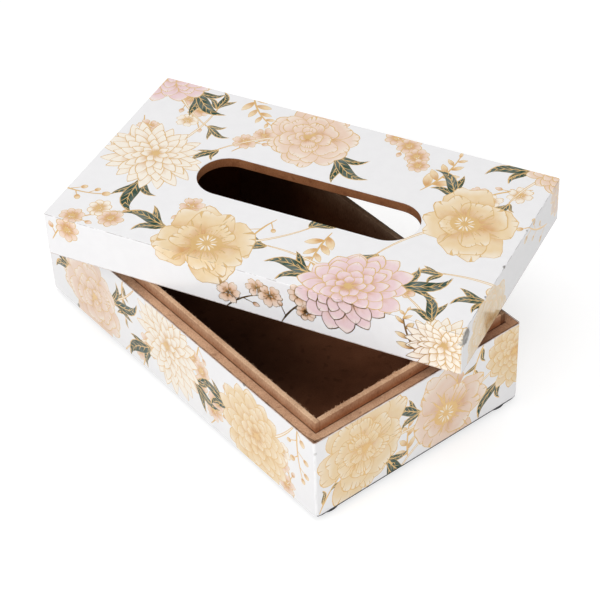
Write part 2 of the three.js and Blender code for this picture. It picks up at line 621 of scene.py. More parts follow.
# %% [markdown]
# ## Black sheet and rubber feet
#
# A black sheet closes the underside, and four rubber feet keep it off the table. They are
# nearly black, but not evenly: the sheet has a fine leathery grain and rubbed spots, and the
# rubber is dusty. The feet keep their CAD shapes, which have the rounded edges already. The
# sheet is made anew, because its corners have to give way with the tray's.


# %% Sheet and feet
def black_sheet():
    sheet = Finish("black_sheet")
    place = sheet.place()
    cells = sheet.node("TexVoronoi", {"feature": "SMOOTH_F1"}, {"Vector": place, "Scale": 1.1})
    rubbed = sheet.ease(sheet.noise(place, 9, 3), 0.5, 0.75)
    colour = sheet.blend(rubbed, paint("#1a1a1b"), paint("#34322f"))
    sheet.surface(
        {
            "Base Color": colour,
            "Roughness": sheet.ease(rubbed + cells * 0.3, 0, 1.2, 0.6, 0.85),
            "Normal": sheet.bump(cells, 0.06),
        }
    )
    return sheet.material


def black_rubber():
    rubber = Finish("black_rubber")
    place = rubber.place()
    dust = rubber.noise(place, 0.8, 4, 0.7)
    colour = rubber.blend(rubber.ease(dust, 0.5, 0.8), paint("#1d1d1e"), paint("#45423e"))
    rubber.surface(
        {
            "Base Color": colour,
            "Roughness": rubber.ease(dust, 0.3, 0.7, 0.5, 0.8),
            "Normal": rubber.bump(dust, 0.04),
        }
    )
    return rubber.material


board("base_sheet", "tray", black_sheet(), 0.2, 0.3, 3.0, slot="base_sheet")
rubber = black_rubber()
for row in ("front", "back"):
    for column in ("left", "right"):
        refinish(f"foot_{row}_{column}", rubber)
print("underside done")

# %% [markdown]
# ## Stage
#
# The photograph has a pure white ground with only a breath of shadow. More light would burn out
# the white film, so the white comes from a trick instead: rays from the camera, and those that
# a gloss or glass sends on, see a world that glows at strength 1 and a floor that glows for two
# thirds of that and takes the rest from the lamps, so that it keeps the shadow. All others see a
# plain pale floor and a softer sky.


# %% Floor and world
FLOOR_GLOW, FLOOR_SHADE = 0.64, 0.47  # the floor's own light, and the grey that the lamps light
FLOOR_REACH = 4.0  # from its middle to its sides, in metres
SKY = 0.40


def seen_directly(finish):
    """1 for the camera's own rays and for those of reflections and glass."""
    names = ("Is Camera Ray", "Is Glossy Ray", "Is Transmission Ray")
    camera_ray, glossy, through = (finish.node("LightPath", output=name) for name in names)
    return finish.maths("ADD", camera_ray + glossy, through, clamp=True)


floor_mesh = bpy.data.meshes.new("floor")
floor_maker = bmesh.new()
bmesh.ops.create_grid(floor_maker, x_segments=2, y_segments=2, size=FLOOR_REACH)
floor_maker.to_mesh(floor_mesh)
floor_maker.free()
floor = bpy.data.objects.new("floor", floor_mesh)
bpy.context.scene.collection.objects.link(floor)

ground = Finish("white_ground")
ground.surface({"Base Color": paint("#b4b4b4"), "Roughness": 0.9, "Specular IOR Level": 0.0})
glow = ground.node("Emission", None, {"Color": (1, 1, 1, 1), "Strength": FLOOR_GLOW})
shaded = ground.node("BsdfDiffuse", None, {"Color": [FLOOR_SHADE] * 3 + [1]})
for_camera = ground.node("AddShader", None, {0: glow, 1: shaded})
plain = Wire(ground, ground.shader.outputs[0])
both = ground.node("MixShader", None, {0: seen_directly(ground), 1: plain, 2: for_camera})
ground.put(ground.tree.nodes["Material Output"].inputs["Surface"], both)
floor_mesh.materials.append(ground.material)

world = bpy.data.worlds.new("studio")
bpy.context.scene.world = world
world.use_nodes = True


class WorldFinish(Finish):
    """The same helpers on the world's nodes."""

    def __init__(self, world):
        self.tree = world.node_tree


sky = WorldFinish(world)
strength = SKY + (1 - SKY) * seen_directly(sky)
background = world.node_tree.nodes["Background"]
background.inputs["Color"].default_value = (1, 1, 1, 1)
sky.put(background.inputs["Strength"], strength)
print("stage set")

# %% [markdown]
# ## Lamps
#
# The photograph's light comes from large soft lamps in front: the top and the long sides are
# almost equally white, the ends on the right are a little greyer, and the slot and the inside
# fall off to black. Three area lamps give that over the sky's even light, which is kept low so
# that hollows stay dark, and a small low one behind keeps the back from going grey. Their power
# is set so that a colour renders about as it is written. Gloss doesn't mirror them: seen from
# low down, a lamp's reflection would burn out the print on the lid.
# Part of the fall-off inside is painted shade in the fibreboard's colour.


# %% Lamps
def lamp(name, azimuth, elevation, distance, size, level):
    """A square lamp that looks at the object. level is what it adds to a face that faces it."""
    data = bpy.data.lights.new(name, "AREA")
    data.size = size
    data.energy = level * math.pi**2 * distance**2
    a, e = math.radians(azimuth), math.radians(elevation)
    away = Vector((math.sin(a) * math.cos(e), -math.cos(a) * math.cos(e), math.sin(e)))
    made = bpy.data.objects.new(name, data)
    made.location = away * distance
    made.rotation_euler = away.to_track_quat("Z", "Y").to_euler()
    made.visible_glossy = False
    bpy.context.scene.collection.objects.link(made)
    return made


lamps = [
    lamp("lamp_front", -15, 30, 1.6, 1.1, 0.34),
    lamp("lamp_right", 57, 18, 1.6, 0.9, 0.50),
    lamp("lamp_above", -10, 85, 1.7, 1.2, 0.29),
    lamp("lamp_behind", 215, 9, 2.2, 0.5, 0.30),
]
print("lamps", [made.name for made in lamps])

# %% [markdown]
# ## A drawing on a flat plan
#
# The print is drawn as vector shapes on a flat plan, the lowest first, like paper cut-outs laid
# over each other. It could be an image, but an image blurs close up and can't be part of a
# procedural material. Each shape knows its ink, and where its petal's root and tip are, so that
# the material can engrave fine gold strokes along the petal.

# %% Inks and the drawing
INKS = {
    "ground": "#efeeef",
    "gold": "#dcb67c",
    "honey": "#ecd1a4",
    "blush": "#ecd0bb",
    "cream": "#f6ecdd",
    "pink": "#ebcdd0",
    "green": "#1d4030",
}
INK_NUMBER = {name: number for number, name in enumerate(INKS)}
BEND, SWAY = 4.0, 10.4  # they bring the two bending curves to a height of 1
# Where nothing is printed: ink, root, way, length, width, strokes, leaf, a thrown number, bends
BARE = (0, 0, 0, 1, 0, 1, 1, 0, 0, 0, 0, 0)


class Drawing:
    """Inked shapes on a plan in millimetres, the lowest first."""

    def __init__(self, seed):
        self.outlines, self.facts, self.blooms = [], [], []
        self.dice = random.Random(seed)

    def fill(
        self, outline, ink, root=(0, 0), tip=(1, 0), width=1.0, strokes=0, leaf=0, bend=0, sway=0
    ):
        """One shape. strokes says how much gold is engraved, and leaf whether it has veins."""
        x, y = np.asarray(outline, float).T
        area = (x * np.roll(y, -1) - y * np.roll(x, -1)).sum()
        self.outlines.append(np.stack([x, y], 1)[:: 1 if area > 0 else -1])
        along = np.subtract(tip, root)
        length = max(float(np.hypot(*along)), 0.1)
        bends = 2 * length / width * np.array([BEND * bend, SWAY * sway])
        way = along / length
        self.facts.append(
            (INK_NUMBER[ink], *root, *way, length, width, strokes, leaf, self.dice.random(), *bends)
        )

    def vary(self, value, share):
        """The value, give or take up to that share of it."""
        return value * (1 + self.dice.uniform(-share, share))


print("inks", list(INKS))


# %% Outlines
def towards(heading):
    """A step of length 1 in a heading given in degrees."""
    return np.array([math.cos(math.radians(heading)), math.sin(math.radians(heading))])


def blade(root, tip, width, belly, blunt, bend=0.0, sway=0.0, steps=9):
    """The outline of a petal or leaf. belly above 1 moves the widest place towards the tip."""
    share = (1 - np.cos(np.linspace(0, math.pi, steps + 1))) / 2
    along = np.subtract(tip, root).astype(float)
    side = np.array([-along[1], along[0]])
    sag = share * (1 - share) * (BEND * bend + SWAY * sway * (1 - 2 * share))
    middle = np.asarray(root) + share[:, None] * along + sag[:, None] * side
    half = width / 2 * np.sin(math.pi * share**belly).clip(0, 1) ** blunt
    across = half[:, None] * side / max(np.hypot(*along), 1e-6)
    return np.concatenate([(middle + across)[:-1], (middle - across)[1:][::-1]])


def fan(root, tip, width, lobes, ruffle, phase, steps=15):
    """The outline of a broad petal: narrow at the root, with a notch in its wavy rim."""
    along = np.subtract(tip, root)
    length = np.hypot(*along)
    share = np.linspace(-1, 1, steps)
    notch = 1.6 * ruffle * np.exp(-((share * 7) ** 2))
    wave = ruffle * np.sin(lobes * math.pi * share + phase) - notch
    reach = length * (1 - 0.36 * np.abs(share) ** 2.4) * (1 + wave)
    angle = math.atan2(along[1], along[0]) + math.atan2(width / 2, 0.72 * length) * share
    rim = np.asarray(root) + reach[:, None] * np.stack([np.cos(angle), np.sin(angle)], 1)
    return np.concatenate([[root], rim])


def ellipse(centre, across, along, turn=0.0, steps=10):
    angles = np.linspace(0, 2 * math.pi, steps, endpoint=False)
    x, y = across * np.cos(angles), along * np.sin(angles)
    c, s = math.cos(turn), math.sin(turn)
    return np.stack([centre[0] + x * c - y * s, centre[1] + x * s + y * c], 1)


def ribbon(points, start, end, swell=1.0):
    """A line of the given widths at its start and end, as an outline. swell thins its start."""
    points = np.asarray(points, float)
    way = np.gradient(points, axis=0)
    side = np.stack([-way[:, 1], way[:, 0]], 1) / np.hypot(way[:, 0], way[:, 1])[:, None]
    share = np.linspace(0, 1, len(points))
    half = np.interp(share, (0, 0.25, 1), (start * swell, start, end))[:, None] / 2
    return np.concatenate([points + side * half, (points - side * half)[::-1]])


def arc(start, heading, length, curl, steps=10):
    """Points along a stem whose heading turns by curl degrees on its way, and its headings."""
    headings = heading + curl * np.linspace(0, 1, steps + 1)
    ways = np.array([towards(h) for h in headings[:-1]]) * length / steps
    return np.concatenate([[start], np.asarray(start) + np.cumsum(ways, 0)]), headings


print("outlines", [made.__name__ for made in (blade, fan, ellipse, ribbon, arc)])

# %% [markdown]
# ## Garden motifs
#
# The film of the real box is covered with flowers in gold foil, blush and dark green. Its own
# picture isn't copied: these are plain garden flowers of like size and colour, built from
# petals in rows. A bloom's rows are listed from the outside in. Each petal is a gold shape with
# a smaller coloured one on it, set a little aside, so that its outline is thick on one side and
# thin on the other, as a pen's line is. Small random changes keep petals from looking stamped.

# %% Rows of petals
PEN, FINE_PEN = 0.5, 0.36  # the width of a gold outline, and of a small flower's

# For each row: petals, reach, root and width as shares of the radius, then what gives the form:
# belly and blunt of a blade, or lobes and ruffle of a fan
BLOOMS = {
    "dahlia": (
        blade,
        [
            (15, 1.00, 0.40, 0.37, 1.30, 0.75),
            (14, 0.83, 0.30, 0.32, 1.30, 0.75),
            (12, 0.65, 0.20, 0.28, 1.25, 0.75),
            (9, 0.47, 0.12, 0.25, 1.20, 0.75),
            (7, 0.30, 0.03, 0.20, 1.15, 0.75),
        ],
    ),
    "aster": (
        blade,
        [
            (20, 1.00, 0.28, 0.25, 1.05, 0.80),
            (18, 0.84, 0.22, 0.23, 1.05, 0.80),
            (15, 0.66, 0.16, 0.21, 1.05, 0.80),
            (11, 0.48, 0.08, 0.19, 1.00, 0.80),
            (7, 0.30, 0.00, 0.17, 1.00, 0.80),
        ],
    ),
    "camellia": (
        fan,
        [
            (7, 1.00, 0.20, 0.95, 1.5, 0.045),
            (6, 0.84, 0.12, 0.86, 1.5, 0.045),
            (6, 0.66, 0.08, 0.66, 1.3, 0.045),
            (5, 0.49, 0.05, 0.52, 1.2, 0.04),
            (4, 0.33, 0.00, 0.40, 1.1, 0.04),
            (3, 0.19, 0.00, 0.26, 1.0, 0.03),
        ],
    ),
    "poppy": (
        fan,
        [
            (4, 1.00, 0.06, 1.45, 3.1, 0.05),
            (3, 0.86, 0.04, 1.30, 2.7, 0.05),
            (3, 0.62, 0.02, 0.95, 2.3, 0.05),
        ],
    ),
    "daisy": (blade, [(8, 1.00, 0.16, 0.62, 1.30, 0.55)]),
    "star": (fan, [(6, 1.00, 0.05, 0.95, 1.0, 0.07)]),
}

print("rows of petals", {kind: len(rows) for kind, (_, rows) in BLOOMS.items()})


# %% Petals
def shaped(form, *settled):
    """A form with its last numbers settled, so that it only asks for root, tip and width."""
    return lambda root, tip, width: form(root, tip, width, *settled)


def petal(sheet, outline, root, tip, width, ink, strokes=0.0, pen=PEN, bend=0.0):
    """A gold petal with a smaller coloured one on it. outline makes one from root, tip, width."""
    way = np.subtract(tip, root)
    way = way / max(np.hypot(*way), 1e-6)
    sheet.fill(outline(root, tip, width), "gold")
    aside = np.array([sheet.dice.uniform(-0.35, 0.35), sheet.dice.uniform(-0.35, 0.35)]) * pen
    inner_root, inner_tip = root + way * pen * 1.3 + aside, tip - way * pen * 1.1 + aside
    if np.dot(inner_tip - inner_root, way) > pen and width > 3 * pen:
        inner = outline(inner_root, inner_tip, width - 2 * pen)
        sheet.fill(inner, ink, root, tip, width, strokes, bend=bend)


def stamens(sheet, place, size, count):
    """Thin filaments from the heart, each with a gold dot. place puts a reach and an angle."""
    for i in range(count):
        angle = 2 * math.pi * (i + sheet.dice.uniform(-0.3, 0.3)) / count
        far = sheet.vary(size, 0.22)
        sheet.fill(ribbon([place(0.2 * size, angle), place(far, angle)], 0.3, 0.22), "gold")
        sheet.fill(ellipse(place(far, angle), 0.5, 0.5, steps=6), "gold")


print("outlines of", PEN, "and", FINE_PEN, "mm")


# %% A bloom
def bloom(sheet, kind, centre, radius, turn=0.0, ink="blush", squash=0.86, lean=0.10, strokes=0.8):
    """A flower of rows of petals, seen a little from the side."""
    form, rows = BLOOMS[kind]
    small = len(rows) == 1
    centre = np.asarray(centre, float)
    axes = np.array([towards(turn), towards(turn + 90) * squash])

    def on_plan(reach, angle, lift=1.0):
        heart = lean * radius * lift * axes[1]
        return centre + heart + reach * (math.cos(angle) * axes[0] + math.sin(angle) * axes[1])

    if not small:
        ground = ellipse(on_plan(0, 0), radius * 0.6, radius * 0.6 * squash, math.radians(turn))
        sheet.fill(ground, "gold")
    for row, (count, reach, root, width, first, second) in enumerate(rows):
        start = sheet.dice.uniform(0, 2 * math.pi)
        for i in range(count):
            angle = start + 2 * math.pi * (i + sheet.dice.uniform(-0.12, 0.12)) / count
            far = sheet.vary(radius * reach, 0.05 if small else 0.07)
            bend = sheet.dice.uniform(-0.06, 0.06)
            if form is fan:
                bend, third = 0.0, sheet.dice.uniform(0, 6)
            else:
                third = bend
            petal(
                sheet,
                shaped(form, first, second, third),
                on_plan(radius * root, angle, 1 - reach),
                on_plan(far, angle + sheet.dice.uniform(-0.06, 0.06), 1 - reach),
                sheet.vary(radius * width, 0.1),
                ink,
                strokes * (0.8 + 0.1 * row),
                FINE_PEN if small else PEN,
                bend,
            )
    if kind == "poppy":
        sheet.fill(ellipse(on_plan(0, 0), radius * 0.26, radius * 0.26 * squash, steps=16), "gold")
        stamens(sheet, on_plan, radius * 0.36, 30)
        for i in range(14):
            angle = 2 * math.pi * i / 14
            seed = blade(on_plan(0.06 * radius, angle), on_plan(0.2 * radius, angle), 1.1, 1.2, 0.7)
            sheet.fill(seed, "cream" if i % 2 else "honey")
    size = radius * {"poppy": 0.07, "daisy": 0.2, "star": 0.12}.get(kind, 0.07)
    sheet.fill(ellipse(on_plan(0, 0), size, size * squash), "gold")
    if small:
        stamens(sheet, on_plan, radius * 0.42, 7)


print("blooms ready")

# %% [markdown]
# ## Leaves and sprigs
#
# The real print's leaves are slender and curved, dark green with gold veins, and grow in twos
# and threes. Between the large blooms it has thin twigs with small flowers, berries and leaves.
# One function lays a curved stem and hangs its things left and right in turn, which is how such
# twigs grow, and gives them all for a few numbers each.


# %% Leaves and berries
def leaf(sheet, root, heading, length, width, bend=0.10, ink="green", pen=0.34):
    """A slender leaf with a gold rim and midrib. The material adds its side veins."""
    way = towards(heading)
    root = np.asarray(root, float)
    tip = root + way * length
    form = {"belly": 0.8, "blunt": 1.1, "bend": bend, "sway": 0.5 * abs(bend)}
    sheet.fill(blade(root, tip, width, steps=11, **form), "gold")
    inner = blade(root + way * pen * 2.0, tip - way * pen * 2.6, width - 2 * pen, steps=11, **form)
    sheet.fill(inner, ink, root, tip, width, 0, 1, form["bend"], form["sway"])
    rib = blade(root, root + way * length * 0.86, 1.9 * pen, 0.6, 0.7, bend, form["sway"], 8)
    sheet.fill(rib, "gold")


def spray(sheet, root, heading, length, ink="green"):
    """Three leaves from one place, the middle one the longest."""
    for aside, share in ((-40, 0.72), (38, 0.66), (0, 1.0)):
        size = sheet.vary(length * share, 0.1)
        curve = 0.12 if aside < 0 else -0.12
        turned = heading + sheet.vary(aside, 0.15) if aside else heading
        leaf(sheet, root, turned, size, size * sheet.vary(0.27, 0.12), curve, ink)


def berry(sheet, root, heading, size):
    centre = np.asarray(root) + towards(heading) * size
    turn = math.radians(heading)
    sheet.fill(ellipse(centre, size, size * 0.78, turn), "gold")
    inner = ellipse(centre, size - 0.38, size * 0.78 - 0.38, turn)
    away = towards(heading) * size
    sheet.fill(inner, "honey", centre - away, centre + away, size, 0.5)


print("leaves and berries ready")

# %% Twigs
BUD, SMALL_BLOOM = 5.0, 8.0  # a bud's length and a small flower's radius


def sprig(sheet, kind, start, heading, length, curl, count):
    """A curved twig with count things on it: daisies, stars, berries, leaves or fern leaflets."""
    points, headings = arc(start, heading, length, curl)
    sheet.fill(ribbon(points, 1.3, 0.6, 0.4), "gold")
    for i in range(count):
        share = (i + 1.2) / (count + 0.4)
        at = min(int(share * (len(points) - 1)), len(points) - 1)
        side = -1 if i % 2 else 1
        out = headings[-1] if i == count - 1 else headings[at] + side * sheet.dice.uniform(34, 58)
        root = points[at]
        if kind == "leaves":
            size = sheet.vary(length * 0.40, 0.2) * (1.1 - 0.5 * share)
            leaf(sheet, root, out, size, size * 0.28, -0.12 * side)
            continue
        if kind == "fern":
            size = length * 0.3 * (1.15 - 0.75 * share)
            tip = root + size * towards(out)
            petal(sheet, shaped(blade, 1.0, 0.8), root, tip, size * 0.42, "honey", 0.7, 0.32)
            continue
        flower = kind != "berries" and (i + len(kind)) % 3 != 2
        tip = root + sheet.vary(6.4 if flower else 5.0, 0.3) * towards(out)
        sheet.fill(ribbon([root, (root + tip) / 2, tip], 0.7, 0.5), "gold")
        if kind == "berries":
            berry(sheet, tip, out, sheet.vary(2.4, 0.2))
        elif flower:
            ink = "blush" if sheet.dice.random() < 0.7 else "cream"
            size, turn = sheet.vary(SMALL_BLOOM, 0.12), sheet.dice.uniform(0, 90)
            bloom(sheet, kind, tip, size, turn, ink, 0.9, 0.05)
        else:
            end = tip + BUD * towards(out)
            petal(sheet, shaped(blade, 0.9, 0.8), tip, end, 3.4, "blush", 0.9, FINE_PEN)


print("small flowers", 2 * SMALL_BLOOM, "mm across")


# %% Clusters and layout
def cluster(sheet, kind, centre, radius, ink, stem, leaves, strokes=0.8):
    """A bloom's stem and the leaves around it. The bloom itself is laid over all leaves, later."""
    points, headings = arc(centre, stem, radius * 1.75, 35)
    spray(sheet, points[-1], headings[-1] + 10, radius * 0.6)
    sheet.fill(ribbon(points, 2.2, 0.9), "gold")
    inner, _ = arc(centre, stem, radius * 1.7, 34)
    sheet.fill(ribbon(inner, 1.3, 0.2), "cream")
    for heading, size in leaves:
        spray(sheet, np.asarray(centre) + towards(heading) * radius * 0.72, heading + 12, size)
    sheet.blooms.append((kind, centre, radius, stem - 90, ink, strokes))


def plant(sheet, sprigs, blooms, repeats=(0,)):
    """Draws the sprigs first, then the blooms' stems and leaves, and the blooms over them all."""
    for kind, (u, v), *rest in sprigs:
        for shift in repeats:
            sprig(sheet, kind, (u + shift, v), *rest)
    for kind, (u, v), *rest in blooms:
        for shift in repeats:
            cluster(sheet, kind, (u + shift, v), *rest)
    for kind, centre, radius, turn, ink, strokes in sheet.blooms:
        bloom(sheet, kind, centre, radius, turn, ink, strokes=strokes)
    return sheet


print("motifs ready")

# %% [markdown]
# ## The lid's print
#
# The film runs from the lid's top down its sides, so the plan is the unfolded lid: the top in
# the middle and a flap for each side. A flower that lies across an edge then bends over it, as
# on the real box. The layout is a composition of its own, with large blooms far apart and
# sprigs that fill the white between them.

# %% Draw the lid's plan
# A sprig: kind, root, heading, length, how far it curls, and how many things hang on it
LID_SPRIGS = (
    ("star", (-121, 62), -24, 42, -30, 5),
    ("fern", (-72, 80), -62, 40, 40, 9),
    ("star", (-58, 22), 62, 40, -40, 5),
    ("daisy", (24, 92), -78, 46, 45, 6),
    ("fern", (60, 32), 62, 44, 35, 9),
    ("star", (120, 58), 205, 44, 40, 6),
    ("berries", (150, 56), 250, 40, -30, 6),
    ("daisy", (92, -30), 232, 38, 50, 5),
    ("fern", (30, -24), 262, 40, 26, 9),
    ("berries", (-4, -26), 244, 40, 40, 6),
    ("star", (-60, -28), 285, 44, 35, 6),
    ("daisy", (-126, -92), 62, 52, -35, 7),
    ("berries", (-148, -44), -20, 40, 40, 6),
    ("star", (-124, 34), 296, 38, -35, 5),
    ("fern", (104, -98), 120, 34, -35, 8),
    ("star", (-14, -106), 52, 34, -40, 4),
    ("berries", (-52, -72), 18, 36, 36, 6),
    ("daisy", (22, -104), 64, 30, -30, 4),
)
# A bloom: kind, middle, radius, ink, its stem's heading, its leaves, and how much it is engraved
LID_BLOOMS = (
    ("camellia", (153, -36), 30, "honey", 160, [(200, 24)], 1.0),
    ("poppy", (98, 15), 34, "honey", 215, [(128, 32)], 1.15),
    ("camellia", (-20, 54), 33, "blush", 200, [(-34, 34)], 1.0),
    ("aster", (-100, 0), 34, "cream", 60, [(-80, 30)], 0.7),
    ("dahlia", (60, -64), 35, "pink", 150, [(172, 32), (26, 32)], 0.7),
    ("poppy", (-34, -62), 36, "honey", 20, [(168, 30)], 1.2),
    ("dahlia", (130, 82), 26, "blush", 230, [(200, 28)], 0.9),
    ("dahlia", (-128, 82), 36, "pink", 300, [(-36, 34)], 0.9),
    ("aster", (121, -88), 26, "cream", 120, [(118, 26)], 0.7),
)
lid_sheet = plant(Drawing(11), LID_SPRIGS, LID_BLOOMS)
print("lid plan", len(lid_sheet.outlines), "shapes")

# %% [markdown]
# ## The tray's print
#
# Round the tray the plan is one long strip, as high as the walls: front, right end, back and
# left end, one after the other, so that flowers run round the corners. The second half repeats
# the first, because a real film is printed in repeats too.

# %% Size of the tray's strip
(p0, q0, base), (p1, q1, _) = tray_low, tray_high
long_side, end_side = p1 - p0, q1 - q0
MARGIN = 0.7  # the white left above the print along the trimmed edge
print("strip", round(2 * (long_side + end_side), 1), "mm")

# %% Draw the tray's plan
TRAY_SPRIGS = (
    ("daisy", (12, 50), -60, 38, 40, 5),
    ("leaves", (84, 60), 250, 36, 40, 5),
    ("star", (96, -2), 72, 40, -30, 5),
    ("daisy", (160, 62), 244, 38, 40, 5),
    ("star", (164, 2), 52, 38, 30, 5),
    ("berries", (246, 60), 262, 38, 26, 6),
    ("leaves", (262, 2), 64, 30, -30, 4),
    ("fern", (326, 4), 95, 34, -20, 8),
    ("leaves", (384, 60), 236, 30, 30, 4),
    ("star", (240, -2), 96, 30, 20, 4),
)
TRAY_BLOOMS = (
    ("camellia", (46, 22), 34, "blush", 20, [(20, 30), (160, 28)], 1.0),
    ("aster", (126, 35), 34, "cream", 200, [(214, 30), (-24, 28)], 0.7),
    ("dahlia", (206, 23), 34, "honey", 30, [(168, 28)], 0.9),
    ("dahlia", (408, 38), 27, "honey", 190, [(226, 26)], 1.0),
    ("poppy", (357, 22), 34, "blush", 200, [(150, 26)], 1.3),
    ("camellia", (293, 33), 36, "honey", -20, [(-52, 26)], 1.3),
)
RINGS = (0.97, 0.65, 0.33)  # as shares of how far a bruise reaches


def tray_drawing():
    sheet = Drawing(23)
    repeat = long_side + end_side
    # Unseen rings of bare ground give the mesh its points where the lower corners are bruised.
    for corner in (0, long_side, repeat, repeat + long_side, 2 * repeat):
        for share in RINGS:
            ring = BRUISE_REACH * share
            sheet.fill(ellipse((corner, 0), ring, ring, steps=16), "ground")
    plant(sheet, TRAY_SPRIGS, TRAY_BLOOMS, (0, repeat))
    # The real print stops just short of the trimmed edge.
    height = float(tray_high[2] - tray_low[2])
    low, high = height - MARGIN, height + 1
    sheet.fill([(0, low), (2 * repeat, low), (2 * repeat, high), (0, high)], "ground")
    return sheet


tray_sheet = tray_drawing()
print("tray plan", len(tray_sheet.outlines), "shapes")

# %% [markdown]
# ## From plan to film
#
# The film is a real sheet of 0.4 mm, so each side gets a thin closed slab. Its outer face has
# to show crisp shapes, and a texture can't. The plan is therefore cut into triangles along all
# outlines by a constrained triangulation, and each triangle takes the ink of the topmost shape
# that covers it. One run over the whole plan would take minutes, because its time grows with
# the square of the points. Small tiles take a second or two, and their shared borders are cut at
# the same points, so they can be welded.

# %% Cut a window of the plan into inked triangles
TILE = 24.0
CUT_STEP = 1.2  # between the points along a trimmed edge of the film
EDGES = ("u0", "v0", "u1", "v1")  # a window's four numbers: its low edges, then its high ones
ON_EDGE = 1e-3  # a point this near to an edge lies on it
INSIDE_ONLY, SAME_POINT = 1, 1e-5  # what the triangulation keeps, and what it welds


def off_edge(points, window, edge):
    """How far a point of the plan, or each of many, is from the line of a window's edge."""
    number = EDGES.index(edge)
    return abs(np.asarray(points)[..., number % 2] - window[number])


def tile_lines(low, high):
    """Tile borders from low to high."""
    return list(np.linspace(low, high, max(1, round((high - low) / TILE)) + 1))


def tile_ring(low, high, window, cut):
    """A tile's border, with many points where the film is cut."""
    (left, bottom), (right, top) = low, high
    corners = [(left, bottom), (right, bottom), (right, top), (left, top)]
    ring = []
    for edge, start, end in zip(("v0", "u1", "v1", "u0"), corners, corners[1:] + corners[:1]):
        on_cut = edge == cut and off_edge(start, window, edge) < ON_EDGE
        steps = round(math.dist(start, end) / CUT_STEP) if on_cut else 1
        ring += [tuple(np.add(start, np.subtract(end, start) * i / steps)) for i in range(steps)]
    return np.array(ring)


def cut_plan(sheet, window, bends, hole, cut):
    """Points, triangles and topmost shapes of a window. bends holds lines across u and v."""
    u0, v0, u1, v1 = window
    columns, rows = tile_lines(u0, u1), tile_lines(v0, v1)
    boxes = np.array([[*o.min(0), *o.max(0)] for o in sheet.outlines])
    points, triangles, tops = [], [], []
    for left, right in zip(columns, columns[1:]):
        for bottom, top in zip(rows, rows[1:]):
            meets = (boxes[:, 0] < right) & (boxes[:, 2] > left)
            meets &= (boxes[:, 1] < top) & (boxes[:, 3] > bottom)
            shapes = np.flatnonzero(meets)
            frames = [tile_ring((left, bottom), (right, top), window, cut)]
            frames += [] if hole is None else [hole]
            places, faces, lines = [], [], []
            for ring in frames + [sheet.outlines[i] for i in shapes]:
                faces.append(list(range(len(places), len(places) + len(ring))))
                places += [Vector(p) for p in ring]
            folds = [((u, bottom), (u, top)) for u in bends[0] if left < u < right]
            folds += [((left, v), (right, v)) for v in bends[1] if bottom < v < top]
            for fold in folds:
                lines.append((len(places), len(places) + 1))
                places += [Vector(p) for p in fold]
            found = delaunay_2d_cdt(places, lines, faces, INSIDE_ONLY, SAME_POINT, True)
            first = len(points)
            points += [tuple(p) for p in found[0]]
            for corners, owners in zip(found[2], found[5]):
                if 0 not in owners or (hole is not None and 1 in owners):
                    continue
                triangles.append([first + c for c in corners])
                above = max(owners) - len(frames)
                tops.append(shapes[above] if above >= 0 else -1)
    return np.array(points), np.array(triangles), np.array(tops)


print("tiles of", TILE, "mm")

# %% [markdown]
# ## Film slabs
#
# The cut face is welded, its border is pulled down to the film's inner side, and the inner side
# is closed. The box's corners are round, because paper and film that wrap a board can't turn on
# a knife edge. Rounding every film by itself would leave steps where two of them meet, so each
# point is drawn onto one rounded box that all films share.

# %% Round the box's edges
# %% The rounded box that all films share
CORNER, FOLD = 1.4, 0.3  # the rounding of the upright corners and of the level folds


def half_round(radius, steps):
    """Distances from an edge that divide the nearer half of its rounding evenly."""
    return [radius * (1 - math.tan(math.pi / 4 * i / steps)) for i in range(steps)]


def bend_lines(edges):
    """Lines on both sides of the box's edges, along which a film has to bend."""
    apart = half_round(CORNER, 4) + half_round(FOLD, 2)
    return [edge + sign * a for edge in edges for a in apart for sign in (-1, 1)]


# What the films of one body share. low, high and fold are the rounded box: fold is its level edge
Wrap = namedtuple("Wrap", "body sheet bends low high fold lip")


def rounded(point, wrap):
    """Draws a point onto the rounded box, and says how far round it is: a corner counts below 0."""
    nearest = [min(max(point[i], wrap.low[i] + CORNER), wrap.high[i] - CORNER) for i in range(2)]
    core = Vector((*nearest, point[2]))
    out = Vector(point) - core
    turned = -min(abs(out.x), abs(out.y)) / CORNER
    inward = CORNER - min(out.length, CORNER)
    below = abs(point[2] - wrap.fold)
    if out.length and inward < FOLD and below < FOLD:
        turned = (FOLD - max(inward, below)) / FOLD
        stretch = max(1.0, math.hypot(FOLD - inward, FOLD - below) / FOLD)
        inward, below = FOLD - (FOLD - inward) / stretch, FOLD - (FOLD - below) / stretch
        bodywards = point[2] - wrap.fold or wrap.high[2] / 2 - wrap.fold
        core.z = wrap.fold + math.copysign(below, bodywards)
    if out.length:
        core += out.normalized() * (CORNER - inward)
    return core, turned


print("corners round to", CORNER, "mm, folds to", FOLD, "mm")

# %% Close a slab
WELDS_PER_MM = 2000
OUTER, WALL, INNER = range(3)  # a slab's faces
BMFace, BMEdge, BMVert = bmesh.types.BMFace, bmesh.types.BMEdge, bmesh.types.BMVert


def only(kind, made):
    """The faces, the edges or the points among what an operator has made."""
    return [part for part in made if isinstance(part, kind)]


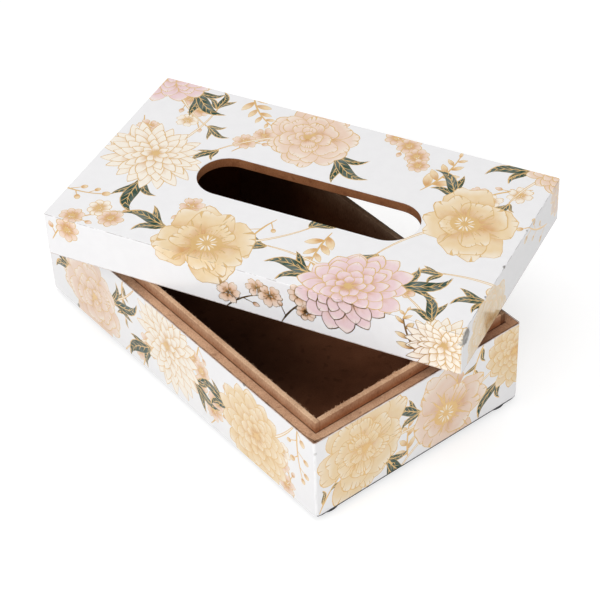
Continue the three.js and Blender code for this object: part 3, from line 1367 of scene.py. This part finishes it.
def slab_of(points, triangles, tops):
    """A closed bmesh over the plan: outer face at height 0, inner face at height 1."""
    welded = (points * WELDS_PER_MM).round().astype(np.int64)
    used, number = np.unique(welded, axis=0, return_inverse=True)
    number = number.ravel()
    plan = np.zeros((len(used), 2))
    plan[number] = points
    made = bmesh.new()
    shape_of = made.faces.layers.int.new("shape")
    layer_of = made.faces.layers.int.new("layer")
    verts = [made.verts.new((u, v, 0.0)) for u, v in plan]
    for corners, top in zip(number[triangles], tops):
        if len(set(corners)) == 3:
            made.faces.new([verts[c] for c in corners])[shape_of] = int(top)
    bmesh.ops.delete(made, geom=[v for v in made.verts if not v.link_faces], context="VERTS")
    rim = [e for e in made.edges if len(e.link_faces) == 1]
    owner = {}
    for e in rim:
        owner[tuple(sorted(tuple(v.co[:2]) for v in e.verts))] = e.link_faces[0][shape_of]
    grown = bmesh.ops.extrude_edge_only(made, edges=rim)["geom"]
    for wall in only(BMFace, grown):
        wall[shape_of] = owner.get(tuple(sorted({tuple(v.co[:2]) for v in wall.verts})), -1)
        wall[layer_of] = WALL
    for v in only(BMVert, grown):
        v.co.z = 1.0
    under = [e for e in only(BMEdge, grown) if all(v.co.z == 1.0 for v in e.verts)]
    closed = bmesh.ops.triangle_fill(made, use_beauty=False, use_dissolve=False, edges=under)
    for face in only(BMFace, closed["geom"]):
        face[shape_of], face[layer_of] = -1, INNER
    return made


print("points weld within", 1 / WELDS_PER_MM, "mm")

# %% [markdown]
# ## The print's facts on the mesh
#
# The finish has to know at each point which ink lies there, and where on its petal that is. UVs
# and an image could tell it, but not exactly at a shape's edge. Named attributes can: a colour,
# and a few numbers for each face or face corner. The trimmed edges and the film's back stay bare.


# %% Write the facts
def numbers(collection, key, kind, width=1):
    found = np.zeros(len(collection) * width, kind)
    collection.foreach_get(key, found)
    return found.reshape(-1, width) if width > 1 else found


def note(mesh, name, columns, domain):
    """Writes three columns of numbers as a vector attribute."""
    written = mesh.attributes.new(name, "FLOAT_VECTOR", domain)
    written.data.foreach_set("vector", np.stack(columns, 1).astype(np.float32).ravel())


def ink_mesh(mesh, sheet, window, cut):
    """Writes each face's ink and each corner's place on its petal as attributes."""
    facts = np.array([*sheet.facts, BARE], float)
    shape = numbers(mesh.attributes["shape"].data, "value", np.int32)
    layer = numbers(mesh.attributes["layer"].data, "value", np.int32)
    vertex_of = numbers(mesh.loops, "vertex_index", np.int32)
    plan = numbers(mesh.attributes["plan"].data, "vector", np.float32, 3)[vertex_of]
    corners = numbers(mesh.polygons, "loop_total", np.int32)
    face_of = np.repeat(np.arange(len(corners)), corners)
    # The print turns with the film's folds.
    on_fold, on_cut = np.zeros((2, len(corners)), bool)
    for edge in EDGES:
        on_edge = np.ones(len(corners), bool)
        np.logical_and.at(on_edge, face_of, off_edge(plan, window, edge) < ON_EDGE)
        on_fold |= on_edge & (edge != cut)
        on_cut |= on_edge & (edge == cut) & (layer == WALL)
    shape = np.where((layer == OUTER) | ((layer == WALL) & on_fold), shape, -1)

    ink, *_, leaf, thrown, _, _ = facts[shape].T
    inks = np.array([paint(code) for code in INKS.values()])[ink.astype(int)]
    colour = mesh.color_attributes.new("ink", "FLOAT_COLOR", "CORNER")
    colour.data.foreach_set("color", inks[face_of].astype(np.float32).ravel())
    note(mesh, "kind", (ink == INK_NUMBER["gold"], leaf, thrown), "FACE")

    fact = facts[shape][face_of].T
    _, root_u, root_v, way_u, way_v, length, width, strokes, _, _, bend, sway = fact
    u, v = plan[:, 0] - root_u, plan[:, 1] - root_v
    along = (u * way_u + v * way_v) / length
    across = (v * way_u - u * way_v) / width * 2
    note(mesh, "stroke", (along, across, strokes), "CORNER")
    note(mesh, "form", (bend, sway, plan[:, 2]), "CORNER")

    trim = np.zeros(len(face_of), np.float32)
    if cut:
        near = 1 - off_edge(plan, window, cut) / TRIM
        trim = np.where(layer[face_of] == OUTER, near, 0).clip(0, 1)
        trim = np.where(on_cut[face_of], 2, trim).astype(np.float32)
    mesh.attributes.new("trim", "FLOAT", "CORNER").data.foreach_set("value", trim)
    for spare in ("shape", "layer", "plan"):
        mesh.attributes.remove(mesh.attributes[spare])


print("inks are numbered", INK_NUMBER)

# %% [markdown]
# ## One side's film
#
# A film is cut from its window of the plan, closed to a slab, wrapped round the box and inked.
# Where it was trimmed, its edge wanders by a few tenths of a millimetre, and the mesh gets three
# more lines along it, so that the grime there can fade.

# %% Build one film
TRIM = 0.9  # how far the grime of a trimmed edge reaches
TRIM_LINES = (0.35, 0.7, 1.0)
WANDER = 2.1  # the size of the trimmed edge's wanderings


def film(wrap, side, window, place, cut, hole=None):
    """A side's printed slab, which stands for its CAD film. cut names the edge that is trimmed."""
    node = f"{wrap.body}_{side}_film"
    bends = dict(zip("uv", wrap.bends))
    if cut:
        inwards = TRIM if cut[1] == "0" else -TRIM
        trims = [window[EDGES.index(cut)] + inwards * share for share in TRIM_LINES]
        bends[cut[0]] = bends[cut[0]] + trims
    made = slab_of(*cut_plan(wrap.sheet, window, (bends["u"], bends["v"]), hole, cut))
    plan_layer = made.verts.layers.float_vector.new("plan")
    for vertex in made.verts:
        u, v, sunk = vertex.co
        spot, turned = rounded(place(u, v, FILM if sunk else 0), wrap)
        vertex.co = bruised(spot, wrap.body)
        if cut and off_edge((u, v), window, cut) < ON_EDGE:
            vertex.co.z += wrap.lip * (0.55 + 0.45 * noise.noise((u / WANDER, v / WANDER, 3.7)))
        vertex[plan_layer] = (u, v, turned)
    bmesh.ops.recalc_face_normals(made, faces=made.faces)
    piece = finished(f"{node}_print", wrap.body, made, film_finish, [node], "printed_film")
    ink_mesh(piece.data, wrap.sheet, window, cut)
    return piece


print("a film's trimmed edge is grimy for", TRIM, "mm")

# %% [markdown]
# ## The film's finish
#
# The film is white and glossy, with matt inks and real metal foil. An image of the print could
# be mapped on, but the mesh already says what is foil, so the finish only mixes. It starts by
# reading the facts on the mesh, and from these it knows how far a point lies along its petal or
# leaf, and how far beside the bent line down its middle.


# %% Read the facts
class FilmFinish(Finish):
    """The film's finish. It reads what the mesh says of each point."""

    def __init__(self, name):
        super().__init__(name)
        self.spot = self.place()
        self.along, self.across, self.amount = self.told("stroke")
        self.foil, self.is_leaf, self.thrown = self.told("kind")
        bend, sway, self.folded = self.told("form")
        along = self.along
        sag = along * (1 - along) * (bend + sway * (1 - along * 2))
        self.beside = self.across - sag
        stretched = {0: along * 2.2, 1: self.beside * 1.6, 2: self.thrown * 40}
        self.wobble = self.noise(self.node("CombineXYZ", None, stretched), 1.0, 2, 0.6)
        self.petal = self.ease(self.amount, 0.05, 0.15)

    def told(self, name):
        """The three numbers that the mesh carries under a name."""
        read = self.node("Attribute", {"attribute_name": name}, output=1)
        return [self.part(read, axis) for axis in range(3)]


print("facts", ["stroke", "kind", "form", "ink", "trim"])

# %% [markdown]
# ## Engraved gold
#
# Gold strokes fan out from a petal's root and hatch its rim. Each stroke has a lane of its own,
# a length thrown for it, and a width that dies away, as an engraver's line does. Leaves get
# slanting veins and gold lights. Modelled strokes would need far too many faces, so the lanes
# are counted by the finish: a lane is a step of a growing number, and its stroke is drawn where
# the number's fraction is near a half.

# %% Engrave
ROOT_LANES, RIM_LANES, VEIN_LANES = 3.4, 5.6, 6.5
SOFT = 0.07  # how softly a stroke's edge ends, as a share of its lane


def lanes(skin, turns, salt):
    """How far a point is from the middle of its lane, up to 0.5, and a number thrown for it."""
    seat = {0: skin.maths("FLOOR", turns), 1: skin.thrown * 90, 2: salt}
    place = skin.node("CombineXYZ", None, seat)
    thrown = skin.node("TexWhiteNoise", {"noise_dimensions": "3D"}, {"Vector": place})
    return abs(skin.maths("FRACT", turns) - 0.5), thrown


def engraved(skin):
    """Where the film is metal: on foil, in strokes, and in the veins and lights of leaves."""
    along, amount, wobble = skin.along, skin.amount, skin.wobble
    lane = skin.beside / (along + 0.3)
    aside, thrown = lanes(skin, lane * ROOT_LANES + wobble * 0.9, 1.0)
    reach = amount * (0.16 + thrown * 0.62)
    root_strokes = skin.ease((1 - along / (reach + 0.02)) * 0.42 - aside, 0.0, SOFT)
    aside, thrown = lanes(skin, lane * RIM_LANES + wobble * 1.2, 2.0)
    start = 1.0 - amount * (0.05 + thrown * 0.26)
    rim_strokes = skin.ease((along - start) * 1.1 - aside, 0.0, SOFT)
    strokes = skin.larger(root_strokes, rim_strokes) * skin.petal

    off_rib = abs(skin.beside)
    aside, _ = lanes(skin, (along - off_rib * 0.22) * VEIN_LANES, 3.0)
    vein = skin.ease((1 - off_rib) * 0.14 - aside, 0.0, 0.06)
    light = skin.ease(wobble - off_rib * 0.12, 0.59, 0.63)
    on_leaf = skin.larger(vein, light) * skin.is_leaf
    return skin.maths("MAXIMUM", skin.larger(skin.foil, strokes), on_leaf, clamp=True)


print("lanes on a petal", ROOT_LANES, "and", RIM_LANES)

# %% [markdown]
# ## Inks and wear
#
# The inks are a little darker towards a petal's root and paler at its rim, and their strength
# drifts as in any print. Folded edges are cracked and rubbed, and a trimmed edge shows the
# board's dust, a scored line and its own grey cut. All of these are thin veils of one more
# colour each, so they are listed and laid over the print in turn.


# %% Inks and wear
def inked(skin, metal):
    """The print's colours, with gold where it is metal."""
    clouds = skin.noise(skin.spot, 7, 3)
    gold = skin.blend(clouds, paint("#d3ab6c"), paint("#e2c088"))
    printed = skin.node("Attribute", {"attribute_name": "ink"}, output=0)
    shade = skin.ease(skin.along + skin.wobble * 0.5, 0.95, 0.35) * skin.petal
    rim = skin.ease(skin.along - skin.wobble * 0.2, 0.62, 0.86, 0.0, 0.55) * skin.petal
    toned = skin.blend(shade, printed, paint("#e2b87f"), "MULTIPLY")
    toned = skin.blend(rim, toned, paint("#f9f1e4"))
    faded = skin.blend(skin.ease(clouds, 0.3, 0.7, 0.0, 0.12), toned, (1, 1, 1, 1))
    return skin.blend(metal, faded, gold)


def worn(skin, colour):
    """The same colours with their folds and trimmed edges worn, and where corners are rubbed."""
    wear = skin.noise(skin.spot, 6, 3)
    trim = skin.node("Attribute", {"attribute_name": "trim"}, output=2)
    cracked = skin.ease(skin.folded, 0.1, 0.6) * skin.ease(wear, 0.44, 0.58)
    rubbed = skin.ease(skin.folded, -0.5, -0.95) * skin.ease(wear, 0.5, 0.66)
    sliced = skin.ease(trim, 1.3, 1.7) * skin.ease(wear, 0.3, 0.6, 0.7, 0.95)
    scored = skin.ease(abs(trim - 0.38), 0.0, 0.16, 1.0, 0.0)
    broken = skin.ease(skin.noise(skin.spot, 2.2, 2), 0.46, 0.56)
    grime = skin.ease(trim, 0.7, 1.0) * skin.ease(wear, 0.52, 0.62)
    for share, tint in (
        (cracked * 0.6, "#6f6861"),
        (rubbed * 0.3, "#9b9894"),
        (skin.ease(trim, 0.0, 0.9, 0, 0.35), "#b8825c"),
        (sliced, "#8f6647"),
        (scored * broken * 0.75, "#6b4a36"),
        (grime * 0.6, "#5b534c"),
    ):
        colour = skin.blend(share, colour, paint(tint))
    return colour, rubbed


print("inks and wear ready")

# %% [markdown]
# ## Knocks, and the finish as a whole
#
# A few knocks show grey where the print has come off. A painted mask would place them, but it
# would be one more image, so each is a ball at a place on the object, with a crumbled border. A
# wide one shows paler film in its middle. The gloss is a thin coat over all but the leaves.

# %% Printed film
WIDE_KNOCK = 6.0  # a knock that is wider than half of this shows bare film in its middle


def knocked_about(skin, colour, knocks):
    """The colours with the knocks on them, and where these are."""
    crumbs = skin.noise(skin.spot, 1.6, 4, 0.7)
    patchy = skin.ease(skin.noise(skin.spot, 4.5, 2), 0.42, 0.58, 0.25, 1)
    knocked = 0.0
    for centre, size, share in knocks:
        depth = skin.apart(skin.spot, centre) / size + crumbs
        mark = skin.ease(depth, 1.35, 1.1, 0, share)
        ring = 1.0
        if size > WIDE_KNOCK / 2:
            ring = skin.ease(depth * size, 0.7 * WIDE_KNOCK, WIDE_KNOCK)
        bared = skin.blend(ring * patchy, paint("#8b857a"), paint("#4a4642"))
        colour = skin.blend(mark, colour, bared)
        knocked = skin.larger(knocked, mark)
    return colour, knocked


def printed_film(knocks):
    """knocks are places on the object, in millimetres, each with a size and a strength."""
    skin = FilmFinish("printed_film")
    metal = engraved(skin)
    colour, rubbed = worn(skin, inked(skin, metal))
    colour, knocked = knocked_about(skin, colour, knocks)
    metal = metal * (1 - skin.larger(rubbed, knocked))
    fine, wave = skin.noise(skin.spot, 0.35, 2), skin.noise(skin.spot, 18, 1)
    dull = metal * 0.5 + fine * 0.2 + rubbed + knocked
    skin.surface(
        {
            "Base Color": colour,
            "Metallic": metal,
            "Roughness": skin.ease(dull, 0.0, 0.9, 0.14, 0.42),
            "Specular IOR Level": 0.2,
            "Coat Weight": 0.35 * (1 - skin.is_leaf),
            "Coat Roughness": 0.06,
            "Normal": skin.bump(wave * 0.9 + fine * 0.1 * metal, 0.05),
        }
    )
    return skin.material


def seen(body, *point):
    """A place given in millimetres along a body's own axes, on the object as it stands."""
    return tuple(Matrix.Rotation(TURN[body], 3, "Z") @ Vector(point))


(x0, y0, _), (x1, y1, lid_top) = own_box("lid_top_film", "lid")
KNOCKS = [
    (seen("lid", x1, y0 + 5.6, lid_top - 6.0), 7.0, 0.9),
    (seen("lid", x1, y0 + 34, lid_top), 1.2, 0.7),
    (seen("lid", x1, y0 + 62, lid_top), 1.6, 0.75),
    (seen("lid", x1, y0 + 97, lid_top), 1.2, 0.6),
    (seen("tray", p1, q0 + 0.8, tray_high[2] - 8), 1.4, 0.35),
    (seen("tray", p0 + 199, q0, tray_high[2]), 1.7, 0.8),
    (seen("tray", p0 + 27.6, q0, base + 2.0), 1.9, 0.8),
    (seen("tray", p0, q1, tray_high[2] - 9), 3.2, 0.8),
    (seen("lid", x0, y1, lid_top - 20), 3.4, 0.8),
]
film_finish = printed_film(KNOCKS)
print("film finish with", len(KNOCKS), "knocks")

# %% [markdown]
# ## Film on the lid
#
# The top film spans the whole lid, slot and all, and the side films hang under it. The plan's
# flaps say where a side's point lies: the further from the fold, the lower it is.

# %% Lid film
FILM = lid_top - own_box("lid_top_film", "lid")[0][2]


def slot_outline():
    """The slot's outline, from the CAD's own points along its edge."""
    low, high = own_box("lid_top_film", "lid")
    points = {(point / MM).xy.to_tuple(3) for point in own_points("lid_top_film", "lid")}
    inner = np.array([p for p in points if low[0] + 1 < p[0] < high[0] - 1])
    centre = (inner.min(0) + inner.max(0)) / 2
    angle = np.arctan2(*(inner - centre).T[::-1])
    return inner[np.argsort(angle)]


LID_PLACES = {
    "top": lambda u, v, drop: (u, v, lid_top - drop),
    "front": lambda u, v, drop: (u, y0 + drop, lid_top - (y0 - v)),
    "back": lambda u, v, drop: (u, y1 - drop, lid_top - (v - y1)),
    "left": lambda u, v, drop: (x0 + drop, v, lid_top - (x0 - u)),
    "right": lambda u, v, drop: (x1 - drop, v, lid_top - (u - x1)),
}


def lid_window(side):
    """The part of the lid's plan that a film shows."""
    (a0, b0, c0), (a1, b1, c1) = own_box(f"lid_{side}_film", "lid")
    return {
        "top": (a0, b0, a1, b1),
        "front": (a0, y0 - (lid_top - c0), a1, y0 - (lid_top - c1)),
        "back": (a0, y1 + (lid_top - c1), a1, y1 + (lid_top - c0)),
        "left": (x0 - (lid_top - c0), b0, x0 - (lid_top - c1), b1),
        "right": (x1 + (lid_top - c1), b0, x1 + (lid_top - c0), b1),
    }[side]


LID_BENDS = (bend_lines((x0, x1)), bend_lines((y0, y1)))
LID_CUT = {"top": None, "front": "v0", "back": "v1", "left": "u0", "right": "u1"}
LID_LIP = 0.2
lid_wrap = Wrap("lid", lid_sheet, LID_BENDS, (x0, y0), (x1, y1, lid_top), lid_top, LID_LIP)
holes = {"top": slot_outline()}
lid_films = [
    film(lid_wrap, side, lid_window(side), LID_PLACES[side], LID_CUT[side], holes.get(side))
    for side in ("top", *SIDES)
]
print("lid films", [len(piece.data.polygons) for piece in lid_films])

# %% [markdown]
# ## Film on the tray
#
# On the tray each film is a window of the long strip. Its upper edge is left bare white: there
# the real film is trimmed a little above the ledge, and the cut shows as a thin bright line.

# %% Tray film
TRAY_LIP = 0.15
ends = np.cumsum([0, long_side, end_side, long_side, end_side])
TRAY_BENDS = (bend_lines(ends), bend_lines((0.0,)))
TRAY_PLACES = {
    "front": lambda u, v, drop: (p0 + u, q0 + drop, base + v),
    "right": lambda u, v, drop: (p1 - drop, q0 + u - long_side, base + v),
    "back": lambda u, v, drop: (p1 - (u - long_side - end_side), q1 - drop, base + v),
    "left": lambda u, v, drop: (p0 + drop, q1 - (u - 2 * long_side - end_side), base + v),
}


def tray_window(side):
    """The part of the tray's plan that a film shows."""
    (a0, b0, c0), (a1, b1, c1) = own_box(f"tray_{side}_film", "tray")
    start, end = {
        "front": (a0 - p0, a1 - p0),
        "right": (long_side + b0 - q0, long_side + b1 - q0),
        "back": (long_side + end_side + p1 - a1, long_side + end_side + p1 - a0),
        "left": (2 * long_side + end_side + q1 - b1, 2 * long_side + end_side + q1 - b0),
    }[side]
    return (start, c0 - base, end, c1 - base)


tray_box = ((p0, q0), (p1, q1, tray_high[2]), base)
tray_wrap = Wrap("tray", tray_sheet, TRAY_BENDS, *tray_box, TRAY_LIP)
tray_films = [film(tray_wrap, side, tray_window(side), TRAY_PLACES[side], "v1") for side in SIDES]
print("tray films", [len(piece.data.polygons) for piece in tray_films])
